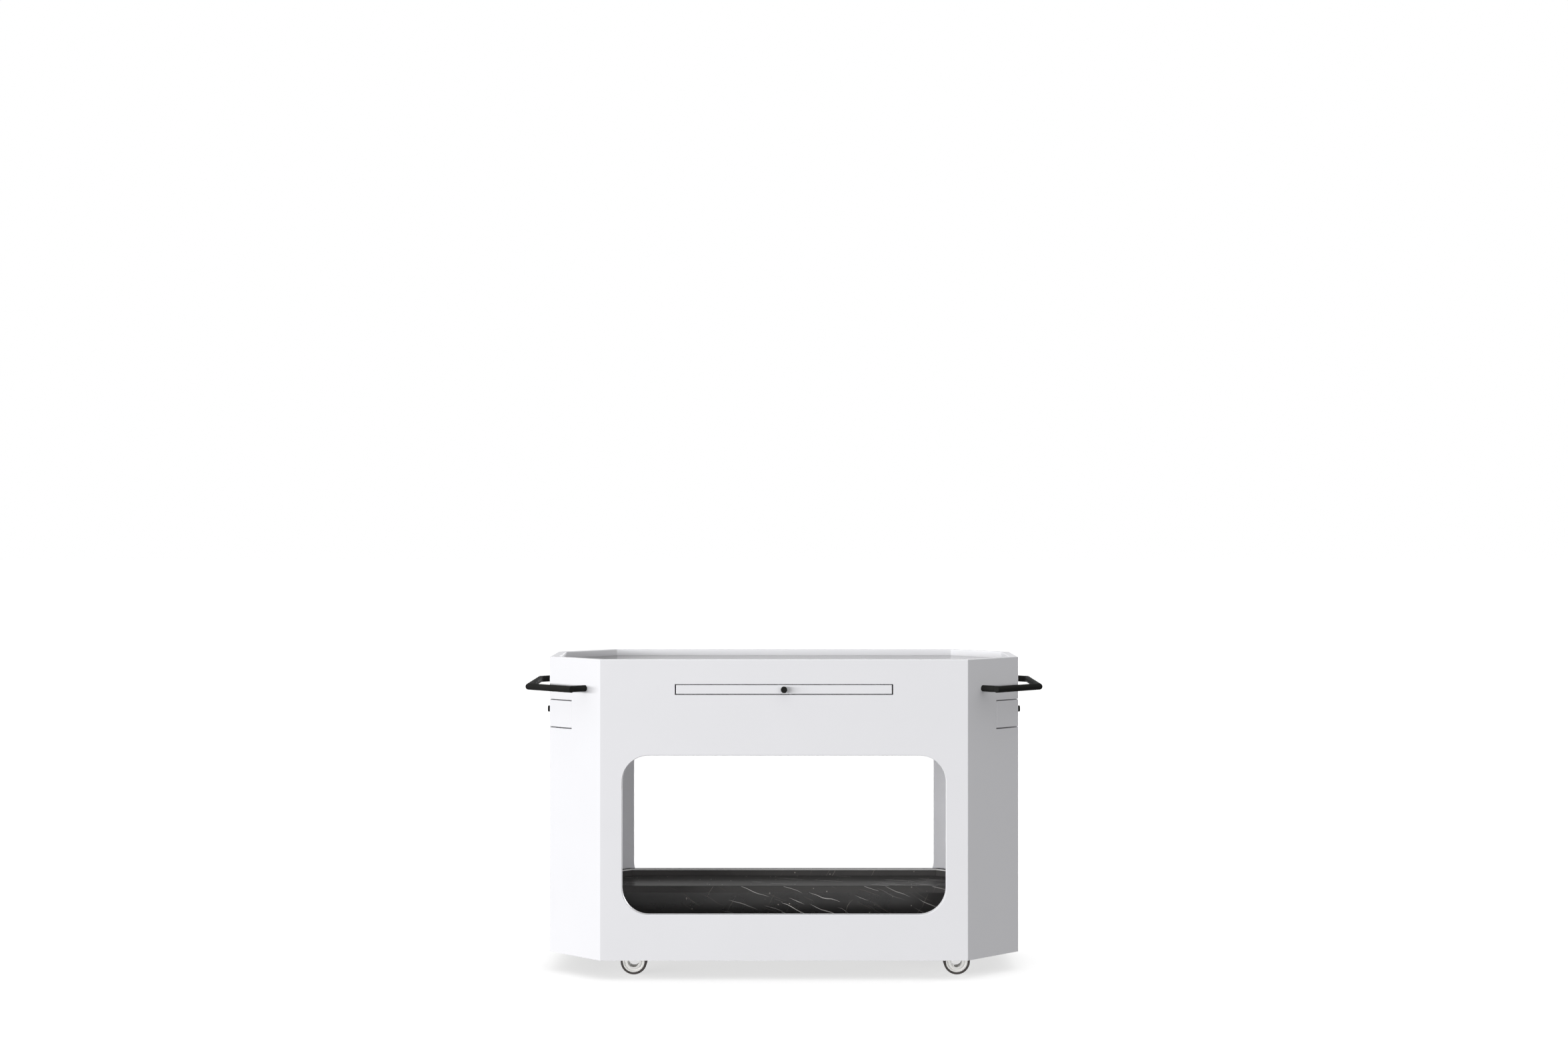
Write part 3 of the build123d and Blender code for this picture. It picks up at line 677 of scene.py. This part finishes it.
# Black marble, honed: dark grey and dull, with hardly any reflection. The last family of veins is the white
# strokes, the first is their fainter companions, and the middle one is the hairlines across them.
# Its upright faces are drawn a quarter brighter than flat ones, as painted light.
MARBLE = VeinedMarble(
    name="Honed black marble", slot="black_marble", colour="#434242", roughness=0.22,
    # The bevel colour, a little paler than the ground, is a painted highlight.
    cloud="#4D4C4B", cloud_mm=110, painted_upright_light=1.25, sawn_at_mm=500, arris="#484746",
    wander_mm=130, wander_reach_mm=44, patch_mm=420, patch_seed=2.0, patch_from=0.38, patch_full=0.54,
    fleck="#B9B3AC", fleck_spacing_mm=30, fleck_core_mm=1.2, fleck_rim_mm=2.7, fleck_strength=0.6,
    gloss=0.004,
    veins=(
        Veins(
            colour="#8A827A", length_mm=80, reach_mm=70, spacing_mm=20, width_mm=1.8,
            cover=0.8, strength=0.6, tilt=(12, 24, 0), offset=0.37,
        ),
        Veins(
            colour="#A39C95", length_mm=60, reach_mm=50, spacing_mm=45, width_mm=1.6,
            cover=0.7, strength=0.7, tilt=(20, -65, 10), offset=1.91,
        ),
        Veins(
            colour="#EFECE8", length_mm=100, reach_mm=80, spacing_mm=26, width_mm=3.6,
            cover=0.85, strength=1.0, tilt=(12, 23, 0), offset=0.0,
        ),
    ),
)
# The same stone from a part of the block without white strokes. Its bevel is drawn pale, a painted highlight
# that runs along it as a bright line.
LIP_MARBLE = replace(
    MARBLE, name="Honed black marble, painted bevel highlight", arris="#D2D1D0", veins=MARBLE.veins[:2]
)
# The same stone, waxed: deeper black, with a soft gloss that lightens it where it mirrors something bright.
RISER_MARBLE = replace(
    MARBLE, name="Waxed black marble", colour="#1C1B1B", cloud="#252423", painted_upright_light=1.0,
    roughness=0.28, gloss=1.0,
)
# The same stone, polished: deep black, and a clear mirror at a flat angle.
POLISHED_MARBLE = replace(
    MARBLE, name="Polished black marble", colour="#161515", cloud="#232120", arris="#161515",
    roughness=0.06, gloss=0.5,
)
# Powder coat baked on steel: soft black, matt, with an even grain. The grain is really about 0.4 mm, and is
# drawn at 1.5 mm so that it shows.
POWDER_COAT = SprayedCoat(
    name="Black powder coat on steel", slot="black_powder_coat", colour="#2B2B2A", roughness=0.5,
    shade="#222221", cloud_mm=40, grain_mm=1.5, grain_depth_mm=0.03, gloss=0.005,
)
# Melamine pressed on chipboard: a flat warm white with a fine pressed grain. The grain is really about
# 0.5 mm, and is drawn at 2.5 mm so that it shows.
MELAMINE = SprayedCoat(
    name="White melamine board", slot="white_board", colour="#E3E2DE", roughness=0.55,
    shade="#DEDDD9", cloud_mm=90, grain_mm=2.5, grain_depth_mm=0.03,
)
# Moulded nylon: a pale grey with a dull skin and soft highlights. The skin's grain is really about 0.3 mm,
# and is drawn at 1.5 mm so that it shows.
NYLON = SprayedCoat(
    name="Moulded grey nylon", slot="grey_nylon", colour="#F6F5F2", roughness=0.4,
    shade="#F0EFEC", cloud_mm=25, grain_mm=1.5, grain_depth_mm=0.02,
)
# Thermoplastic rubber moulded on the rims: a warm dark grey, matt. Its grain is really about 0.3 mm, and is
# drawn at 1.2 mm so that it shows.
TREAD = SprayedCoat(
    name="Thermoplastic rubber tread", slot="tyre", colour="#37322F", roughness=0.62,
    shade="#2F2A28", cloud_mm=18, grain_mm=1.2, grain_depth_mm=0.05,
)
# Cold-rolled steel with bright zinc plating: a cool grey metal with streaks along it. The streaks are really
# about 0.5 mm wide, and are drawn at 3 mm so that they show.
ZINC = PlatedSteel(
    name="Zinc-plated steel", slot="zinc_plated_steel", colour="#C4C7CA", roughness=0.32,
    shade="#AEB2B6", streak_mm=(60, 3, 3),
)
# Beech staves, glued, planed and oiled: a warm brown that changes from stave to stave, with short dark rays.
# The rays are really about 0.5 mm wide, and are drawn at 1.6 mm so that they show.
BEECH = Timber(
    name="Oiled beech", slot="beech", colour="#D9B083", roughness=0.5, streak="#B98A5B", pore="#96683F",
    grain_mm=(220, 9, 9), pore_mm=(9, 1.6, 1.6), stave_mm=48,
)
# Birch plywood under clear lacquer: pale straw with broad faint streaks. The pores are really about 0.5 mm
# wide, and are drawn at 1.8 mm so that they show.
BIRCH = Timber(
    name="Birch plywood, clear lacquer", slot="birch_ply", colour="#E2C79C", roughness=0.45,
    streak="#CDA973", pore="#B48D58", grain_mm=(160, 14, 14), pore_mm=(14, 1.8, 1.8), stave_mm=400,
)
# Softwood stained black: near-black, with a little of the grain left. The pores are really about 0.5 mm wide,
# and are drawn at 1.5 mm so that they show.
STAINED_WOOD = Timber(
    name="Black-stained softwood", slot="black_stained_wood", colour="#1A1816", roughness=0.6,
    streak="#0F0E0D", pore="#26221F", grain_mm=(180, 6, 6), pore_mm=(20, 1.5, 1.5), stave_mm=400,
)


@dataclass(frozen=True)
class ScrewHead:
    """A button-head screw with a hexagon socket, seen from outside.

    Attributes:
        diameter: across the head, in metres.
        height: of the head, in metres.
        socket: across the flats of the socket, in metres.
        segments: corners of each ring of the mesh.
    """

    diameter: float
    height: float
    socket: float
    segments: int = 24

    def rings(self) -> list[tuple[float, float, bool]]:
        """Shape the head as rings, from its foot over the dome and down into its socket.

        Returns:
            The radius and height of each ring, and whether it is six-sided.
        """
        radius, flat = self.diameter / 2, self.socket / 2
        dome = [(radius * out, self.height * up, False) for out, up in BUTTON_DOME]
        return dome + [(flat, self.height, True), (flat, self.height * SOCKET_FLOOR, True)]

    def add_to(self, mesh: bmesh.types.BMesh, foot: Vector, axis: Vector) -> None:
        """Add one closed head to a mesh.

        Args:
            mesh: the mesh that gets it.
            foot: where the middle of the head's seat is.
            axis: the way that the head points.
        """
        turn = axis.to_track_quat("Z", "Y").to_matrix().to_4x4()
        place = Matrix.Translation(foot) @ turn
        loops = []
        for radius, height, six_sided in self.rings():
            loop = []
            for step in range(self.segments):
                angle = math.tau * step / self.segments
                from_flat = (angle + math.pi / 6) % (math.pi / 3) - math.pi / 6
                out = radius / math.cos(from_flat) if six_sided else radius
                point = Vector((out * math.cos(angle), out * math.sin(angle), height))
                loop.append(mesh.verts.new(place @ point))
            loops.append(loop)
        for below, above in zip(loops, loops[1:]):
            for step in range(self.segments):
                after = (step + 1) % self.segments
                mesh.faces.new((below[step], below[after], above[after], above[step]))
        mesh.faces.new(reversed(loops[0]))
        mesh.faces.new(loops[-1])


def screws(name: str, head: ScrewHead, feet: list[Vector], axis: Vector) -> bpy.types.Object:
    """Make a set of screw heads as one piece.

    Args:
        name: the piece's name.
        head: the screw.
        feet: where each head sits.
        axis: the way that all the heads point.

    Returns:
        The piece, in zinc-plated steel, not yet riding on a body.
    """
    mesh = bmesh.new()
    for foot in feet:
        head.add_to(mesh, foot, axis)
    data = bpy.data.meshes.new(name)
    mesh.to_mesh(data)
    mesh.free()
    data.shade_smooth()
    data.set_sharp_from_angle(angle=SHARP_EDGE)
    data.materials.append(ZINC.material())
    piece = bpy.data.objects.new(name, data)
    bpy.context.scene.collection.objects.link(piece)
    return piece


def coat(finish: Finish, *nodes: str) -> list[str]:
    """Put a finish on nodes of the frame.

    Args:
        finish: the finish.
        nodes: the nodes that get it.

    Returns:
        One line of report for each node.
    """
    for node in nodes:
        for place in frame["nodes"][node].material_slots:
            place.material = finish.material()
    return [f"{node}: {finish.name}" for node in nodes]


class SubAssembly:
    """Pieces that belong together, of the cart or of the studio."""

    def build(self) -> list[bpy.types.Object]:
        """Make the pieces that the frame lacks, which here are none."""
        return []

    def dress(self) -> list[str]:
        """Put a finish on each node, and return one line of report for each."""
        raise NotImplementedError


@dataclass
class Cabinet(SubAssembly):
    """The eight lacquered walls, the boards between them and the battens under the boards.

    Attributes:
        batten: side of a batten, in metres.
        screw: the screws under the battens.
        long_reach: how far the outermost screws of a long batten are from its middle, in metres.
        long_count: how many screws a long batten has.
        end_reach: how far both screws of an end batten are from its middle, in metres.
    """

    batten: float = 18 * MM
    screw: ScrewHead = ScrewHead(diameter=8 * MM, height=2.4 * MM, socket=3 * MM)
    long_reach: float = 440 * MM
    long_count: int = 5
    end_reach: float = 85 * MM

    def batten_feet(self, board: str) -> list[Vector]:
        """Space out the screws under the battens of one board.

        Args:
            board: the node that the battens carry.

        Returns:
            Where each screw sits.
        """
        low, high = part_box(board)
        under = low.z - self.batten
        step = 2 * self.long_reach / (self.long_count - 1)
        feet = []
        for side in (low.y + self.batten / 2, high.y - self.batten / 2):
            feet += [Vector((i * step - self.long_reach, side, under)) for i in range(self.long_count)]
        for end in (low.x + self.batten / 2, high.x - self.batten / 2):
            feet += [Vector((end, side, under)) for side in (-self.end_reach, self.end_reach)]
        return feet

    def build(self) -> list[bpy.types.Object]:
        """Screw the battens to the deck and to the base.

        Returns:
            The screws, as one piece.
        """
        feet = self.batten_feet("drawer_deck") + self.batten_feet("base_board")
        piece = screws("batten_screws", self.screw, feet, Vector((0, 0, -1)))
        return [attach(piece, "cart")]

    def dress(self) -> list[str]:
        """Lacquer the walls and face the boards with melamine.

        Returns:
            One line of report for each node.
        """
        corners = [f"{corner.value}_corner_panel" for corner in Corner]
        ends = [f"{end.value}_end_{level}_panel" for end in End for level in ("lower", "upper")]
        report = coat(LACQUER, "front_panel", "rear_panel", *corners, *ends)
        return report + coat(MELAMINE, "drawer_deck", "base_board", "wall_battens", "drawer_runner_boards")


@dataclass
class StoneBay(SubAssembly):
    """The stone trough and step behind the windows, and the stone worktop.

    Attributes:
        honed: the slabs that are honed.
    """

    honed: tuple[str, ...] = ("trough_floor_slab", "step_shelf_slab")

    def dress(self) -> list[str]:
        """Polish the worktop, wax the riser, hone the other slabs, and stain the battens under the step.

        Returns:
            One line of report for each node.
        """
        report = coat(POLISHED_MARBLE, "worktop_slab") + coat(MARBLE, *self.honed)
        report += coat(RISER_MARBLE, "step_riser_slab") + coat(LIP_MARBLE, "shelf_lips")
        return report + coat(STAINED_WOOD, "shelf_battens")


@dataclass
class PulloutBoard(SubAssembly):
    """The board that slides out of the front wall."""

    def dress(self) -> list[str]:
        """Lacquer the front, oil the board, stain its runners and coat the knob."""
        report = coat(LACQUER, "pullout_front") + coat(POWDER_COAT, "pullout_knob")
        return report + coat(BEECH, "pullout_board") + coat(STAINED_WOOD, "pullout_runners")


@dataclass
class EndDrawer(SubAssembly):
    """A drawer at one end, with its telescopic slides.

    Attributes:
        end: the end of the cart that it is in.
    """

    end: End

    def dress(self) -> list[str]:
        """Lacquer the front, varnish the box, plate the slides and coat the knob.

        Returns:
            One line of report for each node.
        """
        end = self.end.value
        report = coat(LACQUER, f"{end}_drawer_front") + coat(POWDER_COAT, f"{end}_drawer_knob")
        report += coat(BIRCH, f"{end}_drawer_walls", f"{end}_drawer_floor")
        members = [f"{end}_slide_{member}_members" for member in ("inner", "middle", "cabinet")]
        return report + coat(ZINC, *members)


@dataclass
class EndHandles(SubAssembly):
    """The round bars that wrap both ends, and the bolts that hold them."""

    def dress(self) -> list[str]:
        """Coat the bars and plate the bolts."""
        return coat(POWDER_COAT, *[f"{end.value}_handle" for end in End]) + coat(ZINC, "handle_bolts")


@dataclass
class CasterMounts(SubAssembly):
    """The plates that the four casters hang from, and the bearings that they turn on."""

    def dress(self) -> list[str]:
        """Plate both."""
        return coat(ZINC, "caster_plates", "swivel_bearings")


@dataclass
class SwivelCaster(SubAssembly):
    """A swivel caster with a pair of ring wheels, and the screws that hold its plate.

    Attributes:
        corner: the corner of the cart that it is under.
        plate: how thick its plate is, in metres.
        hole_spacing: how far apart the holes of the plate are, in metres.
        screw: the screws in those holes.
    """

    corner: Corner
    plate: float = 4 * MM
    hole_spacing: float = 46 * MM
    screw: ScrewHead = ScrewHead(diameter=10.5 * MM, height=3.2 * MM, socket=4 * MM)

    def build(self) -> list[bpy.types.Object]:
        """Screw the plate to the base.

        Returns:
            The screws, as one piece.
        """
        name = self.corner.value
        pivot = next(joint["pos_m"] for joint in frame["joints"] if joint["name"] == f"{name}_swivel_turn")
        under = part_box("caster_plates")[1].z - self.plate
        reach = self.hole_spacing / 2
        sides = (-reach, reach)
        feet = [Vector((pivot[0] + x, pivot[1] + y, under)) for x in sides for y in sides]
        piece = screws(f"{name}_plate_screws", self.screw, feet, Vector((0, 0, -1)))
        return [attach(piece, "cart")]

    def dress(self) -> list[str]:
        """Mould the fork, axle and rims, and put the tread on.

        Returns:
            One line of report for each node.
        """
        name = self.corner.value
        report = coat(NYLON, *[f"{name}_{piece}" for piece in ("fork", "axle", "rims")])
        return report + coat(TREAD, f"{name}_tyres")


@dataclass(frozen=True)
class SoftLight:
    """A broad, low strip of soft light, far enough off to light the whole cart evenly.

    Attributes:
        name: the lamp's name.
        azimuth: where it stands, in degrees from straight in front, positive to the right.
        strength: how bright it makes a white face that is turned to it, where one is full white.
        width: its longer side, in metres.
        depth: its shorter side, in metres.
        distance: how far off it stands, in metres.
        height: how high it stands, in metres.
    """

    name: str
    azimuth: float
    strength: float
    width: float = 14.0
    depth: float = 1.6
    distance: float = 20.0
    height: float = 1.8

    def build(self, aim: Vector) -> bpy.types.Object:
        """Set the light up.

        Args:
            aim: the point that it is turned to.

        Returns:
            The lamp, as bright as gives a white face turned to it the strength asked for.
        """
        lamp = bpy.data.lights.new(self.name, "AREA")
        lamp.shape = "RECTANGLE"
        lamp.size, lamp.size_y = self.width, self.depth
        lamp.energy = self.strength * (math.pi * self.distance) ** 2
        light = bpy.data.objects.new(self.name, lamp)
        angle = math.radians(self.azimuth)
        light.location = (self.distance * math.sin(angle), -self.distance * math.cos(angle), self.height)
        light.rotation_euler = (aim - light.location).to_track_quat("-Z", "Y").to_euler()
        bpy.context.scene.collection.objects.link(light)
        return light


@dataclass
class Studio(SubAssembly):
    """White floor and surround, soft light mostly from the front left, and the camera.

    Attributes:
        floor_size: side of the floor, in metres.
        floor_colour: sRGB hex colour of the floor in the light that it scatters on the cart.
        floor_glow: light that the floor shows to the camera in shadow too.
        floor_seen: how much of the light that falls on it the floor shows to the camera.
        horizon_light: light that the surround sends from the horizon.
        overhead_light: light that it sends from straight above.
        lights: the lamps.
        aim_height: height of the point that the lamps are turned to, in metres.
        camera_distance: how far in front of the cart's middle the camera stands, in metres.
        camera_height: how high it stands, in metres.
        lens_mm: its focal length.
    """

    floor_size: float = 160.0
    floor_colour: str = "#5A5A5A"
    floor_glow: float = 0.64
    floor_seen: float = 0.5
    horizon_light: float = 0.0
    overhead_light: float = 1.15
    lights: tuple[SoftLight, ...] = (
        SoftLight("key_light", azimuth=-51, strength=0.91, width=20.0),
        SoftLight("fill_light", azimuth=20, strength=0.175),
        SoftLight("rear_light", azimuth=150, strength=0.6),
    )
    aim_height: float = 0.5
    camera_distance: float = 7.467
    camera_height: float = 1.285
    lens_mm: float = 58.58

    def seen_directly(self, tree: bpy.types.NodeTree) -> bpy.types.Node:
        """Tell what is seen from light that is scattered.

        Args:
            tree: the node tree that asks.

        Returns:
            One for rays from the camera and for reflections and refractions, and nothing for the others.
        """
        rays = add_node(tree, "LightPath").outputs
        mirrored = add_node(
            tree, "Math", {0: rays["Is Glossy Ray"], 1: rays["Is Transmission Ray"]}, operation="MAXIMUM"
        )
        return add_node(tree, "Math", {0: rays["Is Camera Ray"], 1: mirrored}, operation="MAXIMUM")

    def build_floor(self) -> bpy.types.Object:
        """Lay a white floor that keeps a soft shadow of the cart.

        Returns:
            The floor.
        """
        half = self.floor_size / 2
        corners = [(-half, -half, 0), (half, -half, 0), (half, half, 0), (-half, half, 0)]
        data = bpy.data.meshes.new("studio_floor")
        data.from_pydata(corners, [], [(0, 1, 2, 3)])
        # Painted studio floor: dull white, and bright enough to the camera to run into the surround. It
        # scatters less light than it shows, so that it lights the cart from below only a little.
        paint = bpy.data.materials.new("White studio floor paint")
        paint.use_nodes = True
        tree = paint.node_tree
        tree.nodes.clear()
        dull = add_node(tree, "BsdfDiffuse", {"Color": linear(self.floor_colour)})
        dim = add_node(tree, "BsdfDiffuse", {"Color": (self.floor_seen,) * 3 + (1.0,)})
        glow = add_node(tree, "Emission", {"Strength": self.floor_glow})
        bright = add_node(tree, "AddShader", {0: dim, 1: glow})
        shader = add_node(tree, "MixShader", {0: self.seen_directly(tree), 1: dull, 2: bright})
        add_node(tree, "OutputMaterial", {"Surface": shader})
        data.materials.append(paint)
        floor = bpy.data.objects.new("studio_floor", data)
        bpy.context.scene.collection.objects.link(floor)
        return floor

    def build_surround(self) -> None:
        """Light the cart from overhead, by a surround that looks white to the camera and in reflections."""
        world = bpy.data.worlds.new("White surround")
        world.use_nodes = True
        tree = world.node_tree
        tree.nodes.clear()
        way = add_node(tree, "TexCoord").outputs["Generated"]
        height = add_node(tree, "SeparateXYZ", {"Vector": way}).outputs["Z"]
        scattered = add_node(
            tree,
            "MapRange",
            {"Value": height, "To Min": self.horizon_light, "To Max": self.overhead_light},
        )
        seen = self.seen_directly(tree)
        level = add_node(tree, "MapRange", {"Value": seen, "To Min": scattered, "To Max": 1.0})
        sky = add_node(tree, "Background", {"Color": (1.0, 1.0, 1.0, 1.0), "Strength": level})
        add_node(tree, "OutputWorld", {"Surface": sky})
        bpy.context.scene.world = world

    def build_camera(self) -> bpy.types.Object:
        """Stand the camera level in front of the cart, at a person's chest height.

        Returns:
            The camera.
        """
        lens = bpy.data.cameras.new("front_camera")
        lens.lens = self.lens_mm
        lens.sensor_fit = "HORIZONTAL"
        camera = bpy.data.objects.new("front_camera", lens)
        camera.location = (0, -self.camera_distance, self.camera_height)
        camera.rotation_euler = (math.pi / 2, 0, 0)
        bpy.context.scene.collection.objects.link(camera)
        bpy.context.scene.camera = camera
        return camera

    def build(self) -> list[bpy.types.Object]:
        """Set up the whole studio.

        Returns:
            The camera, the floor and the lights.
        """
        self.build_surround()
        bpy.context.scene.view_settings.view_transform = "Standard"
        aim = Vector((0, 0, self.aim_height))
        return [self.build_camera(), self.build_floor(), *[light.build(aim) for light in self.lights]]

    def dress(self) -> list[str]:
        """The floor is painted as it is laid, so there is nothing to report."""
        return []


def main() -> None:
    """Build and dress every sub-assembly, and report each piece."""
    logging.basicConfig(level=logging.INFO, format="%(name)s: %(message)s")
    assemblies: list[SubAssembly] = [Studio(), Cabinet(), StoneBay(), PulloutBoard()]
    assemblies += [*map(EndDrawer, End), EndHandles(), CasterMounts(), *map(SwivelCaster, Corner)]
    for assembly in assemblies:
        for piece in assembly.build():
            LOG.info("%s built", piece.name)
        for line in assembly.dress():
            LOG.info("%s", line)


if __name__ == "__main__":
    main()
